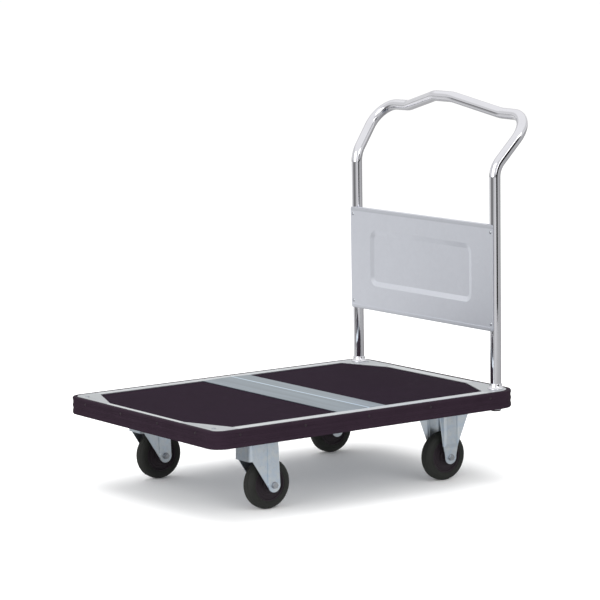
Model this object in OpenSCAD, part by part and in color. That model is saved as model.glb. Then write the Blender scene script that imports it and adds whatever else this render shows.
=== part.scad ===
// Flat-bed platform trolley: framed deck with two rubber mats, a fixed bent-tube handle
// with a sheet panel, two swivel casters at the front and two fixed casters at the rear.
// +X points to the handle end, +Z is up, z = 0 is the floor. Units are millimetres.

/* [Deck] */
// Length of the deck over the bumper
deck_length = 900; // [750:10:1080]
// Width of the deck over the bumper
deck_width = 648; // [540:2:778]
// Thickness of the rubber bumper
bumper_t = 12; // [10:0.5:14]
// Height of the rubber bumper
bumper_h = 42; // [36:1:46]
// Outside radius of the bumper's corners at the front end
front_corner = 36; // [32:1:43]
// Outside radius of the bumper's corners at the handle end
rear_corner = 55; // [50:1:62]
// Width of the metal border between the bumper and the mats on the long sides
side_border = 25; // [22:1:30]
// Width of the metal border between the bumper and the mat at the front end
front_border = 11; // [9:1:16]
// Width of the metal border between the bumper and the mat at the handle end
rear_border = 28; // [24:1:34]
// Thickness of the rubber mats
mat_t = 4.4; // [3.5:0.1:5.2]
// Width of the metal band between the two mats
band_width = 142; // [110:1:180]
// Distance of the band's middle from the middle of the deck, towards the front
band_shift = 4; // [0:1:20]

/* [Handle] */
// Height of the top of the handle above the floor
handle_height = 930; // [775:5:1120]
// Outside diameter of the handle tube
tube_d = 27.2; // [22.6:0.2:32.8]
// Wall thickness of the handle tube
tube_wall = 1.5; // [1.2:0.1:2]
// How far the grip stands behind the posts
handle_lean = 99; // [80:1:110]
// Distance of the posts from the end of the deck
post_inset_x = 40.6; // [38:0.1:48]
// Distance of the posts from the sides of the deck
post_inset_y = 44.7; // [42:0.1:52]
// Height of the sheet panel
panel_height = 261; // [200:1:290]
// Gap between the deck and the sheet panel
panel_gap = 143.4; // [100:0.2:170]

/* [Casters] */
// Diameter of the wheels
wheel_d = 120; // [100:1:144]
// Width of the tyres
tyre_width = 32; // [27:1:38]
// Distance from the swivel axis to the axle of a swivel caster
swivel_offset = 38; // [30:1:46]
// Distance from the top of a wheel to the underside of the deck frame
wheel_headroom = 73.6; // [66:0.2:84]
// Distance from the front end of the deck to the swivel axes
swivel_inset = 165; // [150:1:190]
// Distance from the handle end of the deck to the axle of the fixed casters
fixed_inset = 170.5; // [155:0.5:190]
// Distance from the sides of the deck to the middle of the wheels
track_inset = 92; // [88:1:110]

/* [Hidden] */
$fn = 64;
bolt_clear = 0.1;      // radial clearance of bolts in their holes
run_clear = 0.06;      // radial clearance of turning fits
steel_t = 2;           // sheet thickness of the deck frame
axle_z = wheel_d / 2;
wheel_r = wheel_d / 2;

// Heights of the frame, from the casters up
plate_t = 4;
caster_top = wheel_d + wheel_headroom;
plate_z = caster_top - plate_t;
channel_h = 15;
pan_z = caster_top + channel_h;
floor_z = pan_z + steel_t;
recess = 6.4;           // depth of the deck's recess for the mats
deck_top = floor_z + recess;
bumper_drop = 0.6;      // the bumper's top lies this far below the deck's top
bumper_z = deck_top - bumper_drop - bumper_h;
skirt_z = bumper_z + 4; // lower edge of the rails and castings
border_t = 2.6;         // wall of the rails and of the castings' skirts
casting_t = 3.6;        // top of the corner castings

// Plan of the metal deck inside the bumper
half_x = deck_length / 2 - bumper_t;
half_y = deck_width / 2 - bumper_t;
front_x = -half_x + front_border;
rear_x = half_x - rear_border;
side_y = half_y - side_border;
chamfer_x = 50;
chamfer_y = 125;
function deck_corner(sx) = (sx < 0 ? front_corner : rear_corner) - bumper_t;
ledge_w = 8;            // ledge of a casting, under the pan's cut corner
ledge_t = 1.6;
band_x0 = -band_shift - band_width / 2;
band_x1 = -band_shift + band_width / 2;

// Posts and handle
post_x = deck_length / 2 - post_inset_x;
post_y = deck_width / 2 - post_inset_y;
tube_r = tube_d / 2;
post_below = 8.4;       // how far a post's tube shows below the bumper
post_end_z = bumper_z - post_below;
grip_x = post_x + handle_lean;
shift_x = -(grip_x + tube_r - deck_length / 2) / 2;
lean_drop = 170.6;      // the lean starts this far below the top of the handle
corner_drop = 49.4;     // the corners' middle line is this far below the top
splay = 26.3;           // each corner stands this far outside its post
slope_inset = 94.7;     // the grip starts to rise this far inside each post
slope_drop = corner_drop - 1.5;
crest_half = 35;        // half of the level stretch in the middle of the grip
crest_forward = 33.3;   // and how far it stands forward of the corners
half_path = [
    [post_x, post_y, post_end_z],
    [post_x, post_y, handle_height - lean_drop],
    [grip_x, post_y + splay, handle_height - corner_drop],
    [grip_x, post_y - slope_inset, handle_height - slope_drop],
    [grip_x - crest_forward, crest_half, handle_height - tube_r]
];
path = concat(
    [for (p = half_path) [p[0], -p[1], p[2]]],
    [for (i = [len(half_path) - 1:-1:0]) half_path[i]]
);
corner_bend = 60;
grip_bend = 55;
half_bends = [0, corner_bend, corner_bend, grip_bend, grip_bend];
bend_r = concat(half_bends, [for (i = [len(half_bends) - 1:-1:0]) half_bends[i]]);
last = len(path) - 1;
bend_lap = 0.5;         // a straight piece runs this far into the bends beside it
bend_thinning = 0.02;   // a bend's wall is this much thinner on each face
rivet_r = 2;
screw_r = 2.5;
small_rivet_r = 1.6;
bead_out = 1.2;         // how far the bumper's beads stand out
post_bolt_r = 3;
sleeve_wall = 3.4;      // wall of the sleeve that holds a post
sleeve_out = tube_r + sleeve_wall;

// Panel on the deck side of the posts
panel_t = 1.5;
panel_z = deck_top + panel_gap;
panel_x = post_x - tube_r - panel_t;
panel_half = post_y + 8.7;
panel_top = panel_z + panel_height;
rivet_inset = 18;
rivet_z = [panel_z + rivet_inset, panel_top - rivet_inset];

// Casters
track_y = deck_width / 2 - track_inset;
swivel_x = -deck_length / 2 + swivel_inset;
fixed_x = deck_length / 2 - fixed_inset;
channel_crown = 26;     // half the width of a side channel's hat
leg_gap = 13.5;         // between a tyre and the fork's legs
leg_in = tyre_width / 2 + leg_gap;
leg_t = 2.5;
boss_r = 16.8;          // the legs' round lower ends
plate_x = 100;
hole_x = 26;
hole_y = leg_in + 17.5; // the plate's bolts stand outside the fork's legs
plate_y = 2 * (hole_y + 13);
axle_r = 4;
bolt_r = 4;
hex_r = 7.5;            // from the middle to the corners of a bolt head or nut
head_h = 5.3;
nut_h = 6.5;
sleeve_r = 6;
pin_r = 6;
snug = 0.02;            // radial clearance of parts that don't turn on each other
ball_r = 3;
low_ball_r = 2.5;
ring_r = 19;            // radius of the upper ring of balls
lip_r = 29.6;
ball_gap = 0.5;         // free height of a ring of balls in its race
crown_t = 3;
crown_z = plate_z - 2 * ball_r - ball_gap;
crown_r = 34;
wing_t = 2;
strip_out = 1.7;        // the strip on a swivel fork's leg stands this far out
cup_t = 2;
cup_r = 20;
low_ring_r = cup_r - cup_t - 1 - low_ball_r;
cup_z = crown_z - crown_t - 2 * low_ball_r - ball_gap;
bulge_out = 3.5;        // the middle panel on a fixed fork's leg stands this far out

// Colours
steel_c = [0.72, 0.75, 0.79];
zinc_c = [0.70, 0.75, 0.80];
alu_c = [0.86, 0.87, 0.89];
chrome_c = [0.85, 0.86, 0.88];
rubber_c = [0.20, 0.16, 0.19];
hub_c = [0.18, 0.14, 0.18];
tyre_c = [0.22, 0.22, 0.20];

SIDES = ["left", "right"];
DECK_NODES = [
    "deck_pan", "centre_band", "front_mat", "rear_mat", "left_rail", "right_rail",
    "front_rail", "rear_rail", "front_left_corner", "front_right_corner",
    "rear_left_corner", "rear_right_corner", "corner_screws", "bumper", "bumper_rivets",
    "left_channel", "right_channel", "front_crossbar", "rear_crossbar",
    "caster_bolts", "caster_nuts"
];
HANDLE_NODES = [
    "handle_tube", "handle_panel", "panel_rivets", "post_collars", "post_caps", "post_bolts"
];
SWIVEL_PARTS = [
    "plate", "kingpin", "balls", "cup", "fork", "axle_bolt", "axle_nut", "sleeve", "hub", "tyre"
];
FIXED_PARTS = ["fork", "axle_bolt", "axle_nut", "sleeve", "hub", "tyre"];

// ---- helpers ----

function arc(cx, cy, r, a0, a1, n) =
    [for (i = [0:n]) [cx + r * cos(a0 + (a1 - a0) * i / n), cy + r * sin(a0 + (a1 - a0) * i / n)]];

function round_rect(x0, y0, x1, y1, r) = concat(
    arc(x1 - r, y1 - r, r, 0, 90, 6),
    arc(x0 + r, y1 - r, r, 90, 180, 6),
    arc(x0 + r, y0 + r, r, 180, 270, 6),
    arc(x1 - r, y0 + r, r, 270, 360, 6)
);

function unit(v) = v / norm(v);

// Placement with origin o, first axis x and third axis z
function placement(o, x, z) = let (y = cross(z, x)) [
    [x[0], y[0], z[0], o[0]],
    [x[1], y[1], z[1], o[1]],
    [x[2], y[2], z[2], o[2]],
    [0, 0, 0, 1]
];

function signed(points, sx, sy) = [for (p = points) [sx * p[0], sy * p[1]]];

// Moves the deck so that the middle of the whole trolley is over the origin
module in_frame() {
    translate([shift_x, 0, 0]) children();
}

// A (y, z) outline made solid from x0 to x1
module along_x(x0, x1) {
    translate([x0, 0, 0]) rotate([90, 0, 90]) linear_extrude(x1 - x0) children();
}

// An (x, z) outline made solid between y0 and y1
module along_y(y0, y1) {
    translate([0, max(y0, y1), 0]) rotate([90, 0, 0]) linear_extrude(abs(y1 - y0)) children();
}

// A cylinder on the Y axis from y0 to y1
module rod_y(y0, y1, r) {
    translate([0, min(y0, y1), 0]) rotate([-90, 0, 0]) cylinder(h = abs(y1 - y0), r = r);
}

// ---- deck ----

module deck_pan() {
    outline = [
        [front_x, -side_y + chamfer_y],
        [front_x + chamfer_x, -side_y],
        [rear_x - chamfer_x, -side_y],
        [rear_x, -side_y + chamfer_y],
        [rear_x, side_y - chamfer_y],
        [rear_x - chamfer_x, side_y],
        [front_x + chamfer_x, side_y],
        [front_x, side_y - chamfer_y]
    ];
    color(steel_c) in_frame() translate([0, 0, pan_z]) linear_extrude(steel_t) polygon(outline);
}

// Rubber mat with two cut corners at the end x_end, square at the band
module mat(x_end, x_band) {
    gap = 0.5;
    s = sign(x_end);
    end = x_end - s * gap;
    cut = x_end - s * (chamfer_x + gap);
    color(rubber_c) in_frame() translate([0, 0, floor_z]) linear_extrude(mat_t) polygon([
        [x_band, -side_y + gap],
        [cut, -side_y + gap],
        [end, -side_y + chamfer_y + gap],
        [end, side_y - chamfer_y - gap],
        [cut, side_y - gap],
        [x_band, side_y - gap]
    ]);
}

module front_mat() {
    mat(front_x, band_x0 - 0.5);
}

module rear_mat() {
    mat(rear_x, band_x1 + 0.5);
}

// Folded cover strip with a low ridge line
module centre_band() {
    ridge_x = band_x0 + 0.62 * band_width;
    edge_z = deck_top - 0.5;
    ridge_z = deck_top + 0.9;
    sheet = 1.6;
    color(alu_c) in_frame() along_y(-side_y + 0.2, side_y - 0.2) polygon([
        [band_x0, floor_z],
        [band_x0, edge_z],
        [ridge_x - 1.5, ridge_z],
        [ridge_x + 1.5, ridge_z],
        [band_x1, edge_z],
        [band_x1, floor_z],
        [band_x1 - sheet, floor_z],
        [band_x1 - sheet, edge_z - sheet],
        [ridge_x + 1.5, ridge_z - sheet],
        [ridge_x - 1.5, ridge_z - sheet],
        [band_x0 + sheet, edge_z - sheet],
        [band_x0 + sheet, floor_z]
    ]);
}

// Section of a rail: w is the width of its border, measured in from the outer face at 0
function rail_section(w) = let (edge = 2.5, ledge = 9) [
    [0, skirt_z],
    [0, deck_top - edge],
    [-0.3 * edge, deck_top - 0.3 * edge],
    [-edge, deck_top],
    [-w, deck_top],
    [-w, pan_z],
    [-w - ledge, pan_z],
    [-w - ledge, pan_z - ledge_t],
    [-w + border_t, pan_z - ledge_t],
    [-w + border_t, deck_top - border_t],
    [-border_t, deck_top - border_t],
    [-border_t, skirt_z]
];

module side_rail(s) {
    x0 = front_x + chamfer_x;
    x1 = rear_x - chamfer_x;
    section = [for (p = rail_section(side_border)) [s * (half_y + p[0]), p[1]]];
    color(alu_c) in_frame() difference() {
        along_x(x0, x1) polygon(section);
        bumper_rivet_holes();
    }
}

module left_rail() {
    side_rail(-1);
}

module right_rail() {
    side_rail(1);
}

module end_rail(s, border) {
    y1 = side_y - chamfer_y;
    section = [for (p = rail_section(border)) [s * (half_x + p[0]), p[1]]];
    color(alu_c) in_frame() difference() {
        along_y(-y1, y1) polygon(section);
        bumper_rivet_holes();
    }
}

module front_rail() {
    end_rail(-1, front_border);
}

module rear_rail() {
    end_rail(1, rear_border);
}

// Outer edge of a corner casting, inset by its wall
function corner_outer(sx, inset) = let (r = deck_corner(sx)) concat(
    [[half_x - inset, side_y - chamfer_y]],
    arc(half_x - r, half_y - r, r - inset, 0, 90, 12)
);

// Where the screw of a corner casting stands, from the middle of the deck
function screw_spot(sx) = sx < 0 ? [half_x - 17, half_y - 37] : [half_x - 22, half_y - 58];

post_bolt_z = skirt_z + 14;

module corner_casting(sx, sy) {
    xi = sx < 0 ? -front_x : rear_x;
    ya = side_y - chamfer_y;
    xa = xi - chamfer_x;
    run = norm([chamfer_x, chamfer_y]);
    n = [chamfer_y / run, chamfer_x / run];
    lap = 1;
    outer = corner_outer(sx, 0);
    inner = corner_outer(sx, border_t);
    plan = concat(outer, [[xa, half_y], [xa, side_y], [xi, ya]]);
    skirt = concat(
        outer,
        [[xa, half_y], [xa, half_y - border_t]],
        [for (i = [len(inner) - 1:-1:0]) inner[i]]
    );
    mat_wall = [[xi, ya], [xa, side_y], [xa, side_y] + border_t * n, [xi, ya] + border_t * n];
    ledge = concat(
        [[xi - ledge_w * run / chamfer_y, ya], [xa, side_y - ledge_w * run / chamfer_x]],
        [[xa, side_y], mat_wall[2], mat_wall[3], [xi, ya]]
    );
    color(alu_c) in_frame() difference() {
        union() {
            translate([0, 0, deck_top - casting_t]) linear_extrude(casting_t)
                polygon(signed(plan, sx, sy));
            translate([0, 0, skirt_z]) linear_extrude(deck_top - lap - skirt_z)
                polygon(signed(skirt, sx, sy));
            translate([0, 0, pan_z - ledge_t]) linear_extrude(deck_top - lap - pan_z)
                polygon(signed(mat_wall, sx, sy));
            translate([0, 0, pan_z - ledge_t]) linear_extrude(ledge_t)
                polygon(signed(ledge, sx, sy));
            if (sx > 0) translate([post_x, sy * post_y, skirt_z + 3])
                cylinder(h = deck_top - lap - skirt_z - 3, r = sleeve_out);
        }
        translate([sx * screw_spot(sx)[0], sy * screw_spot(sx)[1], deck_top - casting_t - 1])
            cylinder(h = casting_t + 2, r = screw_r + bolt_clear);
        if (sx > 0) {
            translate([post_x, sy * post_y, skirt_z])
                cylinder(h = deck_top - skirt_z + 2, r = tube_r + bolt_clear);
            translate([post_x, sy * post_y, post_bolt_z])
                rod_y(-sleeve_out - 4, sleeve_out + 4, post_bolt_r + bolt_clear);
        }
        bumper_rivet_holes();
    }
}

module front_left_corner() {
    corner_casting(-1, -1);
}

module front_right_corner() {
    corner_casting(-1, 1);
}

module rear_left_corner() {
    corner_casting(1, -1);
}

module rear_right_corner() {
    corner_casting(1, 1);
}

// One round-headed screw in each corner casting
module corner_screws() {
    shank = 8;
    head_t = 1.2;
    color(steel_c) in_frame() for (sx = [-1, 1], sy = [-1, 1])
        translate([sx * screw_spot(sx)[0], sy * screw_spot(sx)[1], deck_top]) {
            translate([0, 0, -shank]) cylinder(h = shank, r = screw_r);
            cylinder(h = head_t, r = 2 * screw_r);
            translate([0, 0, head_t]) cylinder(h = 1, r1 = 2 * screw_r, r2 = 1.2 * screw_r);
        }
}

// Section of the bumper: distance out from the deck's skirt, height above its lower edge.
// Three rounded beads stand out, with a groove between each two.
function bead(z0, z1) = let (soft = 1.6) [
    [bumper_t - bead_out, z0],
    [bumper_t - 0.4 * bead_out, z0 + 0.3 * soft],
    [bumper_t, z0 + soft],
    [bumper_t, z1 - soft],
    [bumper_t - 0.4 * bead_out, z1 - 0.3 * soft],
    [bumper_t - bead_out, z1]
];

function bumper_section() = concat(
    [[0, 0], [bumper_t - bead_out, 0]],
    bead(0.02 * bumper_h, 0.26 * bumper_h),
    bead(0.42 * bumper_h, 0.62 * bumper_h),
    bead(0.82 * bumper_h, 0.98 * bumper_h),
    [[bumper_t - bead_out, bumper_h], [0, bumper_h]]
);

// Heights and places of the rivets in the bumper's upper groove
rivet_row_z = bumper_z + 0.72 * bumper_h;
row_x0 = front_x + chamfer_x - 4;
row_x1 = rear_x - chamfer_x - 4;
row_gaps = round((row_x1 - row_x0) / 184);
row_y1 = half_y - rear_corner - 17;
row_y = [-row_y1, -row_y1 / 3, row_y1 / 3, row_y1];

module at_bumper_rivets() {
    for (s = [-1, 1]) {
        for (i = [0:row_gaps]) {
            translate([row_x0 + i * (row_x1 - row_x0) / row_gaps, s * half_y, rivet_row_z])
                rotate([-s * 90, 0, 0]) children();
        }
        for (y = row_y) translate([s * half_x, y, rivet_row_z]) rotate([0, s * 90, 0]) children();
    }
}

module bumper_rivet_holes() {
    at_bumper_rivets() translate([0, 0, -6])
        cylinder(h = bumper_t + 8, r = small_rivet_r + bolt_clear);
}

// Low-headed rivets that hold the bumper on the deck
module bumper_rivets() {
    seat = bumper_t - bead_out;
    back = border_t + 2;
    color(hub_c) in_frame() at_bumper_rivets() {
        translate([0, 0, -back]) cylinder(h = seat + back, r = small_rivet_r);
        translate([0, 0, seat]) cylinder(h = 0.5, r = 2 * small_rivet_r);
        translate([0, 0, seat + 0.5])
            cylinder(h = 0.7, r1 = 2 * small_rivet_r, r2 = 1.2 * small_rivet_r);
        translate([0, 0, -back]) cylinder(h = back - border_t, r = 1.7 * small_rivet_r);
    }
}

// Bend of the bumper round one corner, turned by angle
module bumper_corner(sx, sy, angle) {
    r = deck_corner(sx);
    translate([sx * (half_x - r), sy * (half_y - r), 0]) rotate([0, 0, angle])
        rotate_extrude(angle = 90) polygon([for (p = bumper_section()) [r + p[0], p[1]]]);
}

module bumper() {
    end_strip = [for (p = bumper_section()) [half_x + p[0], p[1]]];
    side_strip = [for (p = bumper_section()) [half_y + p[0], p[1]]];
    color(rubber_c) in_frame() difference() {
        translate([0, 0, bumper_z]) union() {
            for (s = [-1, 1]) {
                along_y(deck_corner(s) - half_y, half_y - deck_corner(s))
                    polygon([for (p = end_strip) [s * p[0], p[1]]]);
                along_x(deck_corner(-1) - half_x, half_x - deck_corner(1))
                    polygon([for (p = side_strip) [s * p[0], p[1]]]);
            }
            for (c = [[1, 1, 0], [-1, 1, 90], [-1, -1, 180], [1, -1, 270]])
                bumper_corner(c[0], c[1], c[2]);
        }
        bumper_rivet_holes();
    }
}

// Hat-shaped channel that carries the casters of one side
module channel(s) {
    crown = channel_crown;
    flange = plate_y / 2 + 2.5;
    cut = chamfer_x * (track_y + crown - side_y + chamfer_y) / chamfer_y;
    short = cut + ledge_w * norm([chamfer_x, chamfer_y]) / chamfer_y + 1;
    section = [
        [-flange, caster_top],
        [-flange, caster_top + steel_t],
        [-crown, caster_top + steel_t],
        [-crown, pan_z],
        [crown, pan_z],
        [crown, caster_top + steel_t],
        [flange, caster_top + steel_t],
        [flange, caster_top],
        [crown - steel_t, caster_top],
        [crown - steel_t, pan_z - steel_t],
        [-crown + steel_t, pan_z - steel_t],
        [-crown + steel_t, caster_top]
    ];
    color(steel_c) in_frame() translate([0, s * track_y, 0]) difference() {
        along_x(front_x + short, rear_x - short) polygon(section);
        for (x = [swivel_x, fixed_x]) translate([x, 0, 0]) four_holes(caster_top - 1);
    }
}

module left_channel() {
    channel(-1);
}

module right_channel() {
    channel(1);
}

// Shallow channel between the two side channels, with room for the caster nuts beside it
module crossbar(x) {
    half = hole_x - hex_r - 0.6;
    low = caster_top + steel_t;
    end_y = track_y - channel_crown;
    color(steel_c) in_frame() along_y(-end_y, end_y) polygon([
        [x - half, low],
        [x - half, pan_z],
        [x + half, pan_z],
        [x + half, low],
        [x + half - steel_t, low],
        [x + half - steel_t, pan_z - steel_t],
        [x - half + steel_t, pan_z - steel_t],
        [x - half + steel_t, low]
    ]);
}

module front_crossbar() {
    crossbar(swivel_x);
}

module rear_crossbar() {
    crossbar(fixed_x);
}

module at_plate_holes() {
    for (x = [swivel_x, fixed_x], s = [-1, 1], i = [-1, 1], j = [-1, 1]) {
        translate([x + i * hole_x, s * track_y + j * hole_y, 0]) children();
    }
}

module caster_bolts() {
    color(steel_c) in_frame() at_plate_holes() {
        translate([0, 0, plate_z - head_h]) cylinder(h = head_h, r = hex_r, $fn = 6);
        translate([0, 0, plate_z]) cylinder(h = pan_z - 4 - plate_z, r = bolt_r);
    }
}

module caster_nuts() {
    color(steel_c) in_frame() at_plate_holes() translate([0, 0, caster_top + steel_t]) difference() {
        cylinder(h = nut_h, r = hex_r, $fn = 6);
        translate([0, 0, -1]) cylinder(h = nut_h + 2, r = bolt_r + snug);
    }
}

// ---- handle ----

function step(i) = unit(path[i + 1] - path[i]);

function bend_angle(i) = acos(step(i - 1) * step(i));

function bend_cut(i) = (i == 0 || i == last) ? 0 : bend_r[i] * tan(bend_angle(i) / 2);

function across(d) = unit(cross(d, abs(d[2]) > 0.8 ? [1, 0, 0] : [0, 0, 1]));

module tube_straight(i) {
    start = path[i] + step(i) * (bend_cut(i) - (i > 0 ? bend_lap : 0));
    end = path[i + 1] - step(i) * (bend_cut(i + 1) - (i + 1 < last ? bend_lap : 0));
    multmatrix(placement(start, across(step(i)), step(i))) difference() {
        cylinder(h = norm(end - start), r = tube_r);
        translate([0, 0, -1]) cylinder(h = norm(end - start) + 2, r = tube_r - tube_wall);
    }
}

module tube_bend(i) {
    before = step(i - 1);
    towards = unit(step(i) - (step(i) * before) * before);
    start = path[i] - before * bend_cut(i);
    centre = start + bend_r[i] * towards;
    multmatrix(placement(centre, -towards, cross(-towards, before)))
        rotate_extrude(angle = bend_angle(i)) translate([bend_r[i], 0]) difference() {
            circle(r = tube_r - bend_thinning);
            circle(r = tube_r - tube_wall + bend_thinning);
        }
}

module handle_tube() {
    color(chrome_c) in_frame() difference() {
        union() {
            for (i = [0:last - 1]) tube_straight(i);
            for (i = [1:last - 1]) tube_bend(i);
        }
        for (s = [-1, 1]) {
            for (z = rivet_z) translate([post_x - tube_r - 4, s * post_y, z])
                rotate([0, 90, 0]) cylinder(h = 4 + tube_r / 2, r = rivet_r + bolt_clear);
            translate([post_x, s * post_y, post_bolt_z])
                rod_y(-tube_r - 4, tube_r + 4, post_bolt_r + bolt_clear);
        }
    }
}

// Solid between two (y, z) outlines of as many points, a at xa and b at xb, xa < xb
module tapered(a, xa, b, xb) {
    n = len(a);
    polyhedron(
        points = concat([for (p = a) [xa, p[0], p[1]]], [for (p = b) [xb, p[0], p[1]]]),
        faces = concat(
            [[for (i = [0:n - 1]) i], [for (i = [2 * n - 1:-1:n]) i]],
            [for (i = [0:n - 1]) [n + i, n + (i + 1) % n, (i + 1) % n, i]]
        )
    );
}

// Sheet with hemmed edges, pressed back in the middle to a shallow dish
module handle_panel() {
    hem = 9;
    hem_t = 1.2;
    flange = 14;
    depth = 3.2;
    flank = 13;
    side_margin = 82;
    low_margin = 62.6;
    top_margin = 52.4;
    corner = 25;
    start = 0.3;
    inner_y = post_y - tube_r - 3;
    function dish(inset) = round_rect(
        -panel_half + side_margin + inset, panel_z + low_margin + inset,
        panel_half - side_margin - inset, panel_top - top_margin - inset, corner - inset
    );
    mouth = dish(-flank * start / depth);
    color(steel_c) in_frame() difference() {
        union() {
            along_x(panel_x, panel_x + panel_t)
                polygon(round_rect(-panel_half, panel_z, panel_half, panel_top, 6));
            tapered(mouth, panel_x + panel_t - start, dish(flank), panel_x + panel_t + depth);
            for (z = [panel_z, panel_top - hem]) {
                translate([panel_x - hem_t, -panel_half + 3, z])
                    cube([hem_t + 0.5, 2 * panel_half - 6, hem]);
            }
            for (z = [panel_z, panel_top - panel_t]) {
                translate([panel_x + 0.5, -inner_y, z]) cube([flange, 2 * inner_y, panel_t]);
            }
        }
        tapered(mouth, panel_x - start, dish(flank), panel_x + depth);
        for (s = [-1, 1], z = rivet_z) {
            translate([panel_x - 4, s * post_y, z])
                rotate([0, 90, 0]) cylinder(h = 4 + 2 * panel_t, r = rivet_r + bolt_clear);
        }
    }
}

module panel_rivets() {
    color(steel_c) in_frame() for (s = [-1, 1], z = rivet_z) {
        translate([panel_x, s * post_y, z]) rotate([0, 90, 0]) {
            cylinder(h = panel_t + tube_wall + 1.5, r = rivet_r);
            translate([0, 0, -1.4]) cylinder(h = 1.4, r1 = 1.1 * rivet_r, r2 = 2.2 * rivet_r);
        }
    }
}

// Flared trim ring around the foot of each post
module post_collars() {
    foot = tube_r + 6.6;
    color(chrome_c) in_frame() for (s = [-1, 1]) translate([post_x, s * post_y, deck_top])
        rotate_extrude() polygon([
            [tube_r + bolt_clear, 0],
            [foot, 0],
            [foot, 1.6],
            [foot - 2.2, 3.4],
            [foot - 3.8, 5.8],
            [foot - 4.8, 9],
            [foot - 5.2, 13],
            [tube_r + bolt_clear, 13.6]
        ]);
}

// Plug in the lower end of each post
module post_caps() {
    color(rubber_c) in_frame() for (s = [-1, 1]) translate([post_x, s * post_y, post_end_z]) {
        translate([0, 0, -3.6]) cylinder(h = 3.6, r1 = tube_r - 2, r2 = tube_r);
        cylinder(h = 9, r = tube_r - tube_wall - 3 * snug);
    }
}

// Cross bolt that holds each post in its corner casting
module post_bolts() {
    end = sleeve_out + 1;
    color(steel_c) in_frame() for (s = [-1, 1]) translate([post_x, s * post_y, post_bolt_z]) {
        rod_y(-s * end, s * end, post_bolt_r);
        translate([0, -s * sleeve_out, 0]) rotate([s * 90, 0, 0])
            cylinder(h = 4, r = 1.9 * post_bolt_r, $fn = 6);
    }
}

// ---- parts of a caster, about its own axes ----

module four_holes(z) {
    for (i = [-1, 1], j = [-1, 1]) {
        translate([i * hole_x, j * hole_y, z]) cylinder(h = 8, r = bolt_r + bolt_clear);
    }
}

// Plan of a caster's mounting plate
module plate_plan() {
    polygon(round_rect(-plate_x / 2, -plate_y / 2, plate_x / 2, plate_y / 2, 8));
}

// Mounting plate with a lip that hangs round the upper ring of balls
module swivel_plate() {
    lip_h = 3.6;
    difference() {
        union() {
            translate([0, 0, plate_z]) linear_extrude(plate_t) plate_plan();
            translate([0, 0, plate_z - lip_h]) cylinder(h = lip_h + 1, r = lip_r + 2.4);
        }
        translate([0, 0, plate_z - lip_h - 1]) cylinder(h = lip_h + 1, r = lip_r);
        translate([0, 0, plate_z - 1]) cylinder(h = plate_t + 2, r = pin_r + snug);
        four_holes(plate_z - 2);
    }
}

// Rivet through the plate, the fork's crown and the lower cup
module kingpin() {
    low = cup_z - cup_t;
    translate([0, 0, low]) cylinder(h = plate_z + plate_t - low, r = pin_r);
    translate([0, 0, plate_z + plate_t]) cylinder(h = 3, r1 = pin_r + 5, r2 = pin_r + 3);
    translate([0, 0, low - 2.5]) cylinder(h = 2.5, r1 = pin_r + 1.5, r2 = pin_r + 4);
}

// Upper ring of balls above the fork's crown and lower ring below it
module bearing_balls() {
    for (i = [0:13]) {
        rotate([0, 0, i * 360 / 14]) translate([ring_r, 0, plate_z - ball_r - 0.1])
            sphere(r = ball_r);
    }
    for (i = [0:9]) {
        rotate([0, 0, i * 36]) translate([low_ring_r, 0, cup_z + low_ball_r + 0.1])
            sphere(r = low_ball_r);
    }
}

// Dish under the fork's crown that holds the lower balls
module lower_cup() {
    difference() {
        translate([0, 0, cup_z - cup_t]) cylinder(h = cup_t + 4, r = cup_r);
        translate([0, 0, cup_z]) cylinder(h = 6, r = cup_r - cup_t);
        translate([0, 0, cup_z - cup_t - 1]) cylinder(h = cup_t + 2, r = pin_r + snug);
    }
}

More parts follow.
